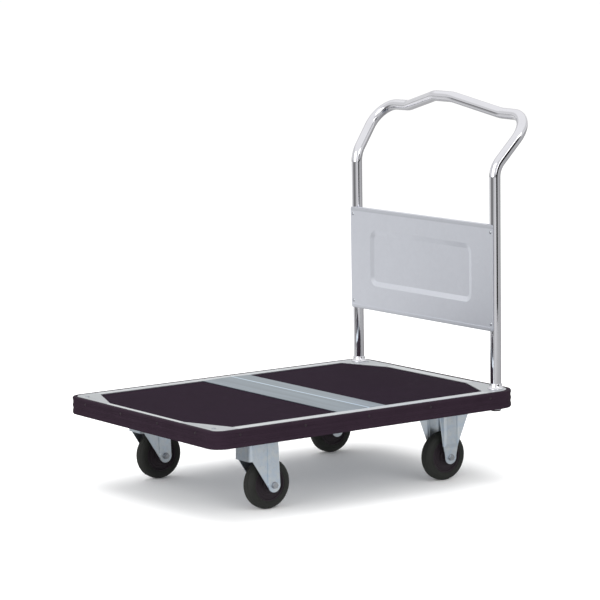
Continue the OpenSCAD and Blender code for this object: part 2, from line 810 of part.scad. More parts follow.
// Pressed fork: a crown, two legs with a raised strip and a slanting wing, and a hood
// that joins the legs at the front. Leg outlines are (x, z) from the axle.
module swivel_fork() {
    top = crown_z - crown_t - axle_z + 1;
    back_x = 12;
    strip_x = -18;
    hood_r = 9;
    hood_x = -swivel_offset - 30;
    hood_z = wheel_r + 2;
    hood_h = top - hood_z;
    bend_x = hood_x + hood_r;
    wing_y = leg_in + wing_t;
    strip_y = wing_y + strip_out;
    foot = [[boss_r - 0.3, 3], [0, 0]];
    front_foot = [-0.86 * boss_r, -0.45 * boss_r];
    race_r = ring_r + ball_r + 3;
    translate([swivel_offset, 0, 0]) difference() {
        union() {
            for (s = [-1, 1]) translate([0, 0, axle_z]) {
                along_y(s * leg_in, s * wing_y) polygon(concat(
                    [[back_x, top]], foot,
                    [front_foot, [bend_x, hood_z], [bend_x, top]]
                ));
                along_y(s * leg_in, s * strip_y) circle(r = boss_r);
                along_y(s * (wing_y - 1), s * strip_y)
                    polygon(concat([[back_x, top]], foot, [[strip_x, 8], [strip_x, top]]));
                translate([bend_x, s * (wing_y - hood_r), hood_z])
                    rotate([0, 0, s > 0 ? 90 : 180]) rotate_extrude(angle = 90)
                        translate([hood_r - wing_t, 0]) square([wing_t, hood_h]);
            }
            translate([hood_x, hood_r - wing_y, axle_z + hood_z])
                cube([wing_t, 2 * (wing_y - hood_r), hood_h]);
            translate([0, 0, crown_z - crown_t]) linear_extrude(crown_t) polygon(concat(
                arc(bend_x, wing_y - hood_r, hood_r, 90, 180, 6),
                arc(bend_x, hood_r - wing_y, hood_r, 180, 270, 6),
                [[strip_x, -wing_y], [strip_x, -strip_y], [back_x, -strip_y]],
                [[back_x, strip_y], [strip_x, strip_y], [strip_x, wing_y]]
            ));
            translate([-swivel_offset, 0, crown_z - crown_t]) cylinder(h = crown_t, r = crown_r);
            translate([-swivel_offset, 0, crown_z - 1]) cylinder(h = 3.2, r = race_r + 2.5);
        }
        translate([-swivel_offset, 0, crown_z]) cylinder(h = 4, r = race_r);
        translate([-swivel_offset, 0, crown_z - crown_t - 1])
            cylinder(h = crown_t + 2, r = pin_r + run_clear);
        translate([0, 0, axle_z]) rod_y(-strip_y - 1, strip_y + 1, axle_r + bolt_clear);
    }
}

// Outward-flared side of a fixed fork, turned out about the upright edge of its leg
module fork_wing(side, end, top) {
    turn = 33;
    root = 22;
    reach = 31;
    foot_z = 28;
    flare_z = top - 13;
    translate([end * root, side * (leg_in + 0.1), axle_z]) rotate([0, 0, side * end * turn])
        along_y(0, side * leg_t) polygon([
            [-end, foot_z],
            [end, foot_z],
            [end * reach, flare_z],
            [end * reach, top],
            [-end, top]
        ]);
}

// Raised middle of a fixed fork's leg, with sloped flanks and a sloped lower step; inset
// draws every face in by that much, for the hollow behind it
module leg_bulge(side, inset, top) {
    flat = 15 - 0.6 * inset;
    foot = 21 - 0.6 * inset;
    step_z = 24 + inset;
    panel_z0 = 34 + inset;
    y0 = leg_in - (inset > 0 ? 0.5 : 0);
    y1 = leg_in + leg_t - inset;
    y2 = y1 + bulge_out;
    intersection() {
        along_x(-foot - 1, foot + 1) polygon([
            [side * y0, step_z], [side * y1, step_z],
            [side * y2, panel_z0], [side * y2, top], [side * y0, top]
        ]);
        linear_extrude(top + 1) polygon([
            [-foot, side * y0], [-foot, side * y1], [-flat, side * (y2 + 0.1)],
            [flat, side * (y2 + 0.1)], [foot, side * y1], [foot, side * y0]
        ]);
    }
}

// Pressed fork in one piece with its plate; each leg has a raised middle panel above a
// flat boss. Leg outlines are (x, z) from the axle.
module fixed_fork() {
    top = plate_z - axle_z + 1;
    half = 23;
    y1 = leg_in + leg_t;
    difference() {
        union() {
            translate([0, 0, plate_z]) linear_extrude(plate_t) plate_plan();
            for (s = [-1, 1]) {
                translate([0, 0, axle_z]) {
                    along_y(s * leg_in, s * y1) circle(r = boss_r);
                    along_y(s * leg_in, s * y1) polygon([
                        [0.3 - boss_r, 2], [0, 0], [boss_r - 0.3, 2],
                        [half, 31], [half, top], [-half, top], [-half, 31]
                    ]);
                    leg_bulge(s, 0, top);
                }
                for (e = [-1, 1]) fork_wing(s, e, top);
            }
        }
        for (s = [-1, 1]) translate([0, 0, axle_z]) leg_bulge(s, leg_t, top - 1);
        translate([0, 0, axle_z]) rod_y(-y1 - 1, y1 + 1, axle_r + bolt_clear);
        four_holes(plate_z - 2);
    }
}

// Axle parts: out is the outer face of the fork's legs, s the side of the head
module axle_bolt(out, s) {
    washer_t = 1;
    translate([0, 0, axle_z]) {
        rod_y(-s * (out + nut_h + 2), s * out, axle_r);
        rod_y(s * out, s * (out + washer_t), hex_r + 0.9);
        translate([0, s * (out + washer_t), 0]) rotate([-s * 90, 0, 0])
            cylinder(h = head_h, r = hex_r, $fn = 6);
    }
}

module axle_nut(out, s) {
    translate([0, -s * out, axle_z]) rotate([s * 90, 0, 0]) difference() {
        union() {
            cylinder(h = 1, r = hex_r + 0.9);
            cylinder(h = nut_h, r = hex_r, $fn = 6);
        }
        translate([0, 0, -1]) cylinder(h = nut_h + 2, r = axle_r + snug);
    }
}

module axle_sleeve() {
    translate([0, 0, axle_z]) difference() {
        rod_y(-leg_in, leg_in, sleeve_r);
        rod_y(-leg_in - 1, leg_in + 1, axle_r + snug);
    }
}

// The outline of a round part's one half, with the same half mirrored to the other face
function both_faces(half) = concat(
    [for (p = half) [p[0], -p[1]]],
    [for (i = [len(half) - 1:-1:0]) half[i]]
);

rim_band = 19;          // height of the tyre on the hub
hub_rim = wheel_r - rim_band;
rim_y = tyre_width / 2 - 1.8;

// Hub with a barrel, a recessed web with raised rings on it, and a rim
module wheel_hub() {
    web_y = tyre_width / 2 - 5.5;
    web_r0 = sleeve_r + 8.5;
    web_r1 = hub_rim - 5;
    ring_pitch = 8.6;
    rings = floor((web_r1 - web_r0) / ring_pitch);
    half = concat(
        [[sleeve_r + run_clear, leg_in - 0.4], [sleeve_r + 5, leg_in - 0.4]],
        [[sleeve_r + 6.5, tyre_width / 2 - 3], [web_r0, web_y]],
        [for (i = [0:1:rings - 1], p = [[0, 0], [0.6, 0.9], [2.4, 0.9], [3, 0]])
            [web_r0 + 5.5 + i * ring_pitch + p[0], web_y + p[1]]],
        [[web_r1, web_y], [web_r1 + 2, rim_y], [hub_rim, rim_y]]
    );
    translate([0, 0, axle_z]) rotate([90, 0, 0]) rotate_extrude() polygon(both_faces(half));
}

module wheel_tyre() {
    shoulder = 12;
    w = tyre_width / 2;
    half = concat(
        [[hub_rim, rim_y], [hub_rim + 0.6, w - 0.8], [hub_rim + 3, w - 0.3], [hub_rim + 6, w]],
        arc(wheel_r - shoulder, w - shoulder, shoulder, 90, 18, 6),
        [[wheel_r, 1]]
    );
    translate([0, 0, axle_z]) rotate([90, 0, 0]) rotate_extrude() polygon(both_faces(half));
}

// ---- casters in place ----

module at_swivel(s) {
    in_frame() translate([swivel_x, s * track_y, 0]) children();
}

module at_swivel_axle(s) {
    in_frame() translate([swivel_x + swivel_offset, s * track_y, 0]) children();
}

module at_fixed(s) {
    in_frame() translate([fixed_x, s * track_y, 0]) children();
}

swivel_out = leg_in + wing_t + strip_out;
fixed_out = leg_in + leg_t;

module swivel_part(part, s) {
    if (part == "plate") color(zinc_c) at_swivel(s) swivel_plate();
    if (part == "kingpin") color(steel_c) at_swivel(s) kingpin();
    if (part == "balls") color(steel_c) at_swivel(s) bearing_balls();
    if (part == "cup") color(zinc_c) at_swivel(s) lower_cup();
    if (part == "fork") color(zinc_c) at_swivel(s) swivel_fork();
    if (part == "axle_bolt") color(steel_c) at_swivel_axle(s) axle_bolt(swivel_out, s);
    if (part == "axle_nut") color(steel_c) at_swivel_axle(s) axle_nut(swivel_out, s);
    if (part == "sleeve") color(steel_c) at_swivel_axle(s) axle_sleeve();
    if (part == "hub") color(hub_c) at_swivel_axle(s) wheel_hub();
    if (part == "tyre") color(tyre_c) at_swivel_axle(s) wheel_tyre();
}

module fixed_part(part, s) {
    if (part == "fork") color(zinc_c) at_fixed(s) fixed_fork();
    if (part == "axle_bolt") color(steel_c) at_fixed(s) axle_bolt(fixed_out, s);
    if (part == "axle_nut") color(steel_c) at_fixed(s) axle_nut(fixed_out, s);
    if (part == "sleeve") color(steel_c) at_fixed(s) axle_sleeve();
    if (part == "hub") color(hub_c) at_fixed(s) wheel_hub();
    if (part == "tyre") color(tyre_c) at_fixed(s) wheel_tyre();
}

deck_pan();
centre_band();
front_mat();
rear_mat();
left_rail();
right_rail();
front_rail();
rear_rail();
front_left_corner();
front_right_corner();
rear_left_corner();
rear_right_corner();
corner_screws();
bumper();
bumper_rivets();
left_channel();
right_channel();
front_crossbar();
rear_crossbar();
caster_bolts();
caster_nuts();
handle_tube();
handle_panel();
panel_rivets();
post_collars();
post_caps();
post_bolts();
swivel_part("plate", -1);  // left_swivel_plate
swivel_part("kingpin", -1);  // left_swivel_kingpin
swivel_part("balls", -1);  // left_swivel_balls
swivel_part("cup", -1);  // left_swivel_cup
swivel_part("fork", -1);  // left_swivel_fork
swivel_part("axle_bolt", -1);  // left_swivel_axle_bolt
swivel_part("axle_nut", -1);  // left_swivel_axle_nut
swivel_part("sleeve", -1);  // left_swivel_sleeve
swivel_part("hub", -1);  // left_swivel_hub
swivel_part("tyre", -1);  // left_swivel_tyre
swivel_part("plate", 1);  // right_swivel_plate
swivel_part("kingpin", 1);  // right_swivel_kingpin
swivel_part("balls", 1);  // right_swivel_balls
swivel_part("cup", 1);  // right_swivel_cup
swivel_part("fork", 1);  // right_swivel_fork
swivel_part("axle_bolt", 1);  // right_swivel_axle_bolt
swivel_part("axle_nut", 1);  // right_swivel_axle_nut
swivel_part("sleeve", 1);  // right_swivel_sleeve
swivel_part("hub", 1);  // right_swivel_hub
swivel_part("tyre", 1);  // right_swivel_tyre
fixed_part("fork", -1);  // left_fixed_fork
fixed_part("axle_bolt", -1);  // left_fixed_axle_bolt
fixed_part("axle_nut", -1);  // left_fixed_axle_nut
fixed_part("sleeve", -1);  // left_fixed_sleeve
fixed_part("hub", -1);  // left_fixed_hub
fixed_part("tyre", -1);  // left_fixed_tyre
fixed_part("fork", 1);  // right_fixed_fork
fixed_part("axle_bolt", 1);  // right_fixed_axle_bolt
fixed_part("axle_nut", 1);  // right_fixed_axle_nut
fixed_part("sleeve", 1);  // right_fixed_sleeve
fixed_part("hub", 1);  // right_fixed_hub
fixed_part("tyre", 1);  // right_fixed_tyre
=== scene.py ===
"""Looks of a flat-bed platform trolley: finishes, rubber tyres and a studio stage."""

import math

import bmesh
import bpy
from bpy.props import FloatProperty, FloatVectorProperty, IntProperty, PointerProperty
from mathutils import Matrix, Vector


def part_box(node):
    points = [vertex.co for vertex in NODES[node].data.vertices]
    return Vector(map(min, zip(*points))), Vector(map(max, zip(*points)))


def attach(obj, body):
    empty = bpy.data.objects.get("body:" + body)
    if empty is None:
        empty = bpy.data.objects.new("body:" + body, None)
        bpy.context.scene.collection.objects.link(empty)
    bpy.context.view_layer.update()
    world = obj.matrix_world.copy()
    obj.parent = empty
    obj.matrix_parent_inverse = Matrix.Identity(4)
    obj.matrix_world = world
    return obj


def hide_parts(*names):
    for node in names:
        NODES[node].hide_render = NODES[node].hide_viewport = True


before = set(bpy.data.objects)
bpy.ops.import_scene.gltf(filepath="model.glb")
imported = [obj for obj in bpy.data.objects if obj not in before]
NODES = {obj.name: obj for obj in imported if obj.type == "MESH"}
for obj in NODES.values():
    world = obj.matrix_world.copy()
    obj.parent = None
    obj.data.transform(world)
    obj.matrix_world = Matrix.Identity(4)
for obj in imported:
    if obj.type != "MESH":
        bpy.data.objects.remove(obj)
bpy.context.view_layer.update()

bl_info = {
    "name": "Platform trolley",
    "version": (1, 0, 0),
    "blender": (4, 5, 0),
    "location": "3D View > Sidebar > Trolley",
    "description": "Dresses the packed trolley with finishes, shaped tyres and a stage",
    "category": "Object",
}

SIDES = {"left": -1, "right": 1}
GLOW = {
    "Base_Color": (0.0, 0.0, 0.0, 1.0),
    "Specular_IOR_Level": 0.0,
    "Emission_Strength": 1.0,
}

CREASE = math.radians(32)  # edges of the CAD sharper than this are rounded
SHARP = math.radians(35)  # edges of made pieces sharper than this stay crisp
RIDGE_SHARE = 0.62  # where the ridge lies across the band
RIM_BAND = 0.019  # height of a tyre on its hub

# Name, place, size and power of each lamp, and whether reflections show it
LAMPS = (
    ("key", (-3.6, -0.6, 1.9), (3.2, 2.6), 60, True),
    ("side", (0.2, -3.8, 1.7), (2.4, 2.2), 30, True),
    ("top", (0.3, 1.2, 4.2), (4.0, 4.0), 110, False),
)
FLOOR_REACH = 60.0

# Studio that is seen only in reflections: a floor, a skyline and a dark card (the flag)
STUDIO_RADIUS = 12.0
# Brightness of the studio floor by direction, once round from -X through -Y, +X and +Y
STUDIO_TONES = (
    (0.0, 0.20),
    (0.042, 0.34),
    (0.117, 0.74),
    (0.18, 0.78),
    (0.25, 0.62),
    (0.348, 0.52),
    (0.444, 0.50),
    (0.528, 0.32),
    (0.667, 0.60),
    (0.769, 0.95),
    (0.849, 0.66),
    (0.917, 0.26),
    (1.0, 0.20),
)
# Share of that brightness by distance from the middle, in tens of metres
NEAR_TONES = ((0.08, 0.85), (0.24, 1.0))
SKYLINE_RADIUS = 11.5
SKYLINE_HEIGHT = 9.0
# Brightness of the skyline from the ground to its top
SKYLINE_TONES = (
    (0.0, 0.10),
    (0.04, 0.12),
    (0.055, 0.72),
    (0.2, 0.86),
    (0.6, 0.76),
    (1.0, 1.0),
)
FLAG_TURN = math.radians(45)  # from the camera's direction
FLAG_AWAY = 3.0
FLAG_HALF = 0.75
FLAG_HEIGHT = 1.5


def paint(red, green, blue):
    """Linear colour from display values of 0 to 255."""
    linear = []
    for value in (red, green, blue):
        share = value / 255
        linear.append(share / 12.92 if share <= 0.04045 else ((share + 0.055) / 1.055) ** 2.4)
    return tuple(linear)


# ---- settings -------------------------------------------------------------------------------


class TrolleyColours(bpy.types.PropertyGroup):
    chrome: FloatVectorProperty(
        name="Chrome",
        description="Plated tube of the handle",
        subtype="COLOR",
        size=3,
        default=paint(226, 226, 231),
    )
    aluminium: FloatVectorProperty(
        name="Aluminium",
        description="Rails of the deck",
        subtype="COLOR",
        size=3,
        default=paint(224, 228, 230),
    )
    casting: FloatVectorProperty(
        name="Casting",
        description="Corner castings of the deck",
        subtype="COLOR",
        size=3,
        default=paint(204, 208, 211),
    )
    band: FloatVectorProperty(
        name="Band",
        description="Sheet strip between the two mats",
        subtype="COLOR",
        size=3,
        default=paint(140, 153, 163),
    )
    panel: FloatVectorProperty(
        name="Panel",
        description="Sheet panel of the handle",
        subtype="COLOR",
        size=3,
        default=paint(234, 237, 245),
    )
    zinc: FloatVectorProperty(
        name="Zinc",
        description="Forks and plates of the casters",
        subtype="COLOR",
        size=3,
        default=paint(222, 229, 234),
    )
    steel: FloatVectorProperty(
        name="Steel",
        description="Bolts, nuts, rivets and the frame under the deck",
        subtype="COLOR",
        size=3,
        default=paint(190, 194, 200),
    )
    mat: FloatVectorProperty(
        name="Mat",
        description="Rubber mats of the deck",
        subtype="COLOR",
        size=3,
        default=paint(28, 15, 29),
    )
    bumper: FloatVectorProperty(
        name="Bumper",
        description="Rubber strip round the deck",
        subtype="COLOR",
        size=3,
        default=paint(41, 30, 40),
    )
    tyre: FloatVectorProperty(
        name="Tyre",
        description="Rubber of the tyres",
        subtype="COLOR",
        size=3,
        default=paint(40, 41, 39),
    )
    hub: FloatVectorProperty(
        name="Hub",
        description="Moulded hubs of the wheels",
        subtype="COLOR",
        size=3,
        default=paint(38, 31, 37),
    )


class TrolleyWheels(bpy.types.PropertyGroup):
    segments: IntProperty(
        name="Segments",
        description="Steps round a tyre",
        default=144,
        min=48,
    )
    seam: FloatProperty(
        name="Seam",
        description="Height of the mould line round the middle of the tread",
        default=0.0002,
        min=0,
        unit="LENGTH",
    )
    groove: FloatProperty(
        name="Groove",
        description="Depth of the two fine grooves beside the tread",
        default=0.0006,
        min=0,
        unit="LENGTH",
    )


class TrolleyStage(bpy.types.PropertyGroup):
    azimuth: FloatProperty(
        name="Azimuth",
        description="Direction of the camera about the trolley; 0 looks along +Y",
        default=math.radians(-35.573),
        subtype="ANGLE",
    )
    elevation: FloatProperty(
        name="Elevation",
        description="Height of the camera above the horizon",
        default=math.radians(8.045),
        subtype="ANGLE",
    )
    roll: FloatProperty(
        name="Roll",
        description="Turn of the camera about its own line of sight",
        default=math.radians(-0.817),
        subtype="ANGLE",
    )
    distance: FloatProperty(
        name="Distance",
        description="From the aim to the camera",
        default=7.1333,
        unit="LENGTH",
    )
    lens: FloatProperty(
        name="Lens",
        description="Focal length in millimetres on a 36 mm sensor",
        default=175.77,
        min=1,
    )
    aim: FloatVectorProperty(
        name="Aim",
        description="Point that the camera looks at",
        subtype="TRANSLATION",
        size=3,
        default=(-0.0206, -0.0110, 0.4447),
    )
    floor: FloatVectorProperty(
        name="Floor",
        description="Colour of the floor",
        subtype="COLOR",
        size=3,
        default=paint(255, 255, 255),
    )
    sky: FloatProperty(
        name="Sky",
        description="Strength of the even light from all round",
        default=1.05,
        min=0,
    )


# ---- finishes ---------------------------------------------------------------------------------


class Term:
    """One output of a finish's node, used in plain arithmetic."""

    def __init__(self, finish, socket):
        self.finish = finish
        self.socket = socket

    def _join(self, operation, first, second):
        return self.finish.node(
            "ShaderNodeMath", {"operation": operation}, {0: first, 1: second}
        )

    def __add__(self, other):
        return self._join("ADD", self, other)

    __radd__ = __add__

    def __sub__(self, other):
        return self._join("SUBTRACT", self, other)

    def __mul__(self, other):
        return self._join("MULTIPLY", self, other)

    def __truediv__(self, other):
        return self._join("DIVIDE", self, other)


class Finish:
    """A material that is being made: a Principled shader and the nodes that feed it."""

    def __init__(self, name, **constants):
        self.material = bpy.data.materials.new(name)
        self.material.use_nodes = True
        self.tree = self.material.node_tree
        self.tree.nodes.clear()
        self.shader = self.tree.nodes.new("ShaderNodeBsdfPrincipled")
        output = self.tree.nodes.new("ShaderNodeOutputMaterial")
        self.tree.links.new(self.shader.outputs[0], output.inputs["Surface"])
        for socket, value in constants.items():
            self.shader.inputs[socket.replace("_", " ")].default_value = value

    def node(self, kind, settings=None, sockets=None, output=0):
        """A node of that kind, its settings made first, then its sockets' values or links."""
        node = self.tree.nodes.new(kind)
        for setting, value in (settings or {}).items():
            if setting == "stops":
                steps = node.color_ramp.elements
                steps[0].position, steps[1].position = value[0][0], value[-1][0]
                for place, tone in value[1:-1]:
                    steps.new(place)
                for step, (place, tone) in zip(steps, value):
                    step.color = (tone, tone, tone, 1)
            else:
                setattr(node, setting, value)
        for socket, value in (sockets or {}).items():
            self.feed(node.inputs[socket], value)
        return Term(self, node.outputs[output])

    def feed(self, socket, value):
        if isinstance(value, Term):
            self.tree.links.new(value.socket, socket)
        elif socket.type == "RGBA" and len(value) == 3:
            socket.default_value = (*value, 1)
        else:
            socket.default_value = value

    def place(self):
        """Place on the piece, in metres; it moves with the piece."""
        return self.node("ShaderNodeTexCoord", output="Object")

    def stretched(self, along):
        """Place with each axis drawn out by a share of along."""
        return self.node(
            "ShaderNodeVectorMath", {"operation": "MULTIPLY"}, {0: self.place(), 1: along}
        )

    def axis(self, name):
        return self.node("ShaderNodeSeparateXYZ", sockets={0: self.place()}, output=name)

    def noise(self, grain, detail=3.0, along=None, roughness=0.55):
        """Cloudy pattern of 0 to 1 whose features are about grain metres across."""
        spot = self.place() if along is None else self.stretched(along)
        return self.node(
            "ShaderNodeTexNoise",
            {"noise_dimensions": "3D"},
            {"Vector": spot, "Scale": 1 / grain, "Detail": detail, "Roughness": roughness},
        )

    def cells(self, grain, along=None, output="Distance"):
        """Cell pattern whose cells are about grain metres across."""
        spot = self.place() if along is None else self.stretched(along)
        return self.node(
            "ShaderNodeTexVoronoi",
            {"voronoi_dimensions": "3D"},
            {"Vector": spot, "Scale": 1 / grain},
            output,
        )

    def ramp(self, value, *stops):
        return self.node("ShaderNodeValToRGB", {"stops": stops}, {0: value})

    def mix(self, share, first, second):
        return self.node(
            "ShaderNodeMix",
            {"data_type": "RGBA"},
            {"Factor": share, 6: first, 7: second},
            2,
        )

    def bump(self, height, depth, under=None):
        sockets = {"Height": height, "Distance": depth, "Strength": 1.0}
        if under is not None:
            sockets["Normal"] = under
        return self.node("ShaderNodeBump", sockets=sockets)

    def wear(self, base_color=None, roughness=None, normal=None, emission_color=None):
        """Feeds what changes over the surface to the shader and gives the material back."""
        for socket, value in (
            ("Base Color", base_color),
            ("Roughness", roughness),
            ("Normal", normal),
            ("Emission Color", emission_color),
        ):
            if value is not None:
                self.feed(self.shader.inputs[socket], value)
        return self.material


def shade(colour, factor):
    return tuple(min(1.0, part * factor) for part in colour)


def chrome_finish(name, colour):
    look = Finish(name, Metallic=1.0)
    cloud = look.noise(0.05, 2.0)
    fine = look.noise(0.0015, 2.0)
    return look.wear(
        base_color=look.mix(cloud, shade(colour, 0.93), colour),
        roughness=0.045 + cloud * 0.03 + fine * 0.02,
        normal=look.bump(look.noise(0.03, 1.0), 0.00012),
    )


def drawn_finish(name, colour, along, rough=0.30):
    """Drawn or rolled metal with fine streaks; along is small on the axis they follow."""
    look = Finish(name, Metallic=1.0)
    streak = look.noise(0.0012, 4.0, along)
    cloud = look.noise(0.06, 3.0)
    scuff = look.ramp(look.noise(0.012, 5.0, along), (0.62, 0.0), (0.74, 1.0))
    tone = look.mix(cloud, shade(colour, 0.88), colour)
    return look.wear(
        base_color=look.mix(scuff * 0.5, tone, shade(colour, 0.82)),
        roughness=rough + streak * 0.10 + scuff * 0.08,
        normal=look.bump(streak, 0.00002),
    )


def band_finish(name, colour, ridge):
    """Drawn sheet, streaked across the deck, with a painted highlight along its ridge at x =
    ridge.
    """
    look = Finish(name, Metallic=1.0)
    streak = look.noise(0.0022, 4.0, (1.0, 0.02, 1.0))
    broad = look.ramp(look.noise(0.014, 3.0, (1.0, 0.03, 1.0)), (0.40, 0.0), (0.66, 1.0))
    off = look.node("ShaderNodeMath", {"operation": "ABSOLUTE"}, {0: look.axis("X") - ridge})
    # painted highlight: a bright line down the ridge of the band, standing in for the light
    # caught by the fold in the sheet
    painted_ridge_highlight = look.ramp(off * 100, (0.24, 1.0), (0.40, 0.0))
    tone = look.mix(broad * 0.6 + streak * 0.3, shade(colour, 0.84), shade(colour, 1.28))
    return look.wear(
        base_color=look.mix(painted_ridge_highlight, tone, shade(colour, 2.4)),
        roughness=0.28 + streak * 0.12,
        normal=look.bump(streak, 0.00003),
    )


def cast_finish(name, colour):
    look = Finish(name, Metallic=1.0)
    grain = look.noise(0.0009, 4.0)
    cloud = look.noise(0.035, 3.0)
    return look.wear(
        base_color=look.mix(cloud, shade(colour, 0.86), colour),
        roughness=0.30 + grain * 0.14 + cloud * 0.06,
        normal=look.bump(grain, 0.00004, look.bump(look.noise(0.006, 2.0), 0.00006)),
    )


def zinc_finish(name, colour, rough=0.27):
    """Bright zinc plating: bluish, mottled, with faint drag lines down the part."""
    look = Finish(name, Metallic=1.0)
    mottle = look.noise(0.018, 4.0)
    drag = look.noise(0.002, 3.0, (1.0, 1.0, 0.08))
    cool = tuple(a * b for a, b in zip(colour, (0.86, 0.92, 1.0)))
    tone = look.mix(look.ramp(mottle, (0.35, 0.0), (0.65, 1.0)), cool, colour)
    dull = look.ramp(look.noise(0.007, 5.0), (0.55, 0.0), (0.75, 1.0))
    return look.wear(
        base_color=look.mix(dull * 0.45, tone, shade(colour, 0.72)),
        roughness=rough + mottle * 0.10 + drag * 0.06,
        normal=look.bump(drag, 0.00003, look.bump(mottle, 0.00015)),
    )


def panel_finish(name, colour, low, high):
    """Satin sheet between heights low and high: faint crystals, light rubs, painted shade at the
    hems: a dark line along the bottom edge and under the top hem, and the hem strips a little
    darker.
    """
    look = Finish(name, Metallic=1.0)
    crystal = look.cells(0.011, (0.4, 1.0, 1.0), "Color")
    shine = look.node("ShaderNodeRGBToBW", sockets={0: crystal})
    streak = look.noise(0.0016, 4.0, (1.0, 0.03, 1.0))
    cloud = look.noise(0.12, 2.0)
    tone = look.mix(cloud, shade(colour, 0.93), colour)
    tone = look.mix(shine * 0.12, tone, shade(colour, 0.80))
    place = (look.axis("Z") - low) / (high - low)
    # painted shade: a dark line at the bottom edge, where the underside sits in shadow, a shadow
    # line just under the thicker top hem, and the hem strips a little darker
    painted_hem_shade = look.ramp(place, (0.0, 0.9), (0.012, 0.25), (0.034, 0.0), (0.962, 0.0), (0.968, 0.45),
                    (1.0, 0.25))
    return look.wear(
        base_color=look.mix(painted_hem_shade, tone, shade(colour, 0.62)),
        roughness=0.36 + shine * 0.05 + streak * 0.07,
        normal=look.bump(streak, 0.000015),
    )


def rubber_finish(name, colour, grain, depth, rough=0.62):
    """Moulded rubber with a pebbled face, slight bloom and rubbed spots."""
    look = Finish(name, Specular_IOR_Level=0.03)
    pebble = look.cells(grain)
    fine = look.noise(0.0007, 3.0)
    bloom = look.noise(0.05, 4.0)
    rub = look.ramp(look.noise(0.016, 6.0), (0.60, 0.0), (0.78, 1.0))
    tone = look.mix(bloom, shade(colour, 0.82), shade(colour, 1.18))
    return look.wear(
        base_color=look.mix(rub * 0.25, tone, shade(colour, 1.7)),
        roughness=rough + fine * 0.12 - rub * 0.08,
        normal=look.bump(fine, 0.00004, look.bump(pebble, depth)),
    )


def tyre_finish(name, colour, axle):
    """Hard rubber: dusty tread, plain side wall, fine turned marks round the axle."""
    look = Finish(name, Specular_IOR_Level=0.12)
    spot = look.node(
        "ShaderNodeVectorMath", {"operation": "SUBTRACT"}, {0: look.place(), 1: tuple(axle)}
    )
    flat = look.node(
        "ShaderNodeVectorMath", {"operation": "MULTIPLY"}, {0: spot, 1: (1.0, 0.0, 1.0)}
    )
    radius = look.node(
        "ShaderNodeVectorMath", {"operation": "LENGTH"}, {0: flat}, output="Value"
    )
    tread = look.ramp(radius * 10, (0.545, 0.0), (0.59, 1.0))
    turned = look.node(
        "ShaderNodeTexNoise",
        {"noise_dimensions": "1D"},
        {"W": radius, "Scale": 1400.0, "Detail": 2.0},
    )
    bloom = look.noise(0.02, 4.0)
    dust = look.noise(0.004, 5.0)
    side = look.mix(bloom, shade(colour, 0.80), shade(colour, 1.10))
    worn = look.mix(dust, shade(colour, 0.95), shade(colour, 1.55))
    return look.wear(
        base_color=look.mix(tread * 0.8, side, worn),
        roughness=0.50 + dust * 0.14 + tread * 0.12,
        normal=look.bump(turned, 0.00003, look.bump(dust, 0.00006)),
    )


def moulded_finish(name, colour):
    look = Finish(name, Specular_IOR_Level=0.2)
    grain = look.noise(0.0008, 3.0)
    flow = look.noise(0.02, 3.0)
    return look.wear(
        base_color=look.mix(flow, shade(colour, 0.85), shade(colour, 1.15)),
        roughness=0.40 + grain * 0.16,
        normal=look.bump(grain, 0.00003),
    )


def bolt_finish(name, colour):
    look = Finish(name, Metallic=1.0)
    turned = look.noise(0.0008, 3.0)
    cloud = look.noise(0.004, 4.0)
    return look.wear(
        base_color=look.mix(cloud, shade(colour, 0.75), colour),
        roughness=0.22 + turned * 0.14,
        normal=look.bump(turned, 0.00002),
    )


# ---- shaping ----------------------------------------------------------------------------------


def coat(node, material):
    """Gives every slot of a CAD node this material."""
    piece = NODES[node]
    if not piece.material_slots:
        piece.data.materials.append(material)
    for place in piece.material_slots:
        place.material = material


def soften(node, width, steps=2):
    """Rounds the crisp edges of a CAD node with modifiers, so that they catch the light."""
    piece = NODES[node]
    weld = piece.modifiers.new("Weld", "WELD")
    weld.merge_threshold = 0.00001
    bevel = piece.modifiers.new("Edges", "BEVEL")
    bevel.width = width
    bevel.segments = steps
    bevel.limit_method = "ANGLE"
    bevel.angle_limit = CREASE
    bevel.use_clamp_overlap = True
    bevel.harden_normals = True


def dress(nodes, material, width=0.0, steps=2):
    for node in nodes:
        coat(node, material)
        if width:
            soften(node, width, steps)


def lathe(name, outline, centre, segments, material):
    """Closed ring on the Y axis from (radius, y) points, about centre."""
    mesh = bmesh.new()
    rings = []
    for step in range(segments):
        turn = 2 * math.pi * step / segments
        ring = []
        for radius, y in outline:
            spot = (radius * math.cos(turn), y, radius * math.sin(turn))
            ring.append(mesh.verts.new(Vector(spot) + centre))
        rings.append(ring)
    count = len(outline)
    for step in range(segments):
        here, there = rings[step], rings[(step + 1) % segments]
        for k in range(count):
            face = mesh.faces.new(
                (here[k], here[(k + 1) % count], there[(k + 1) % count], there[k])
            )
            face.smooth = True
    return finished(name, mesh, material)


def finished(name, mesh, material):
    """Object from a bmesh: normals outward, shaded smooth, with creases kept sharp."""
    bmesh.ops.recalc_face_normals(mesh, faces=mesh.faces)
    for edge in mesh.edges:
        if len(edge.link_faces) == 2 and edge.calc_face_angle(0) > SHARP:
            edge.smooth = False
    for face in mesh.faces:
        face.smooth = True
    data = bpy.data.meshes.new(name)
    mesh.to_mesh(data)
    mesh.free()
    data.materials.append(material)
    piece = bpy.data.objects.new(name, data)
    bpy.context.scene.collection.objects.link(piece)
    return piece


def corner_arc(cx, cy, radius, start, end, steps):
    """Points of an arc, angles in degrees."""
    points = []
    for k in range(steps + 1):
        turn = math.radians(start + (end - start) * k / steps)
        points.append((cx + radius * math.cos(turn), cy + radius * math.sin(turn)))
    return points


# ---- operators --------------------------------------------------------------------------------


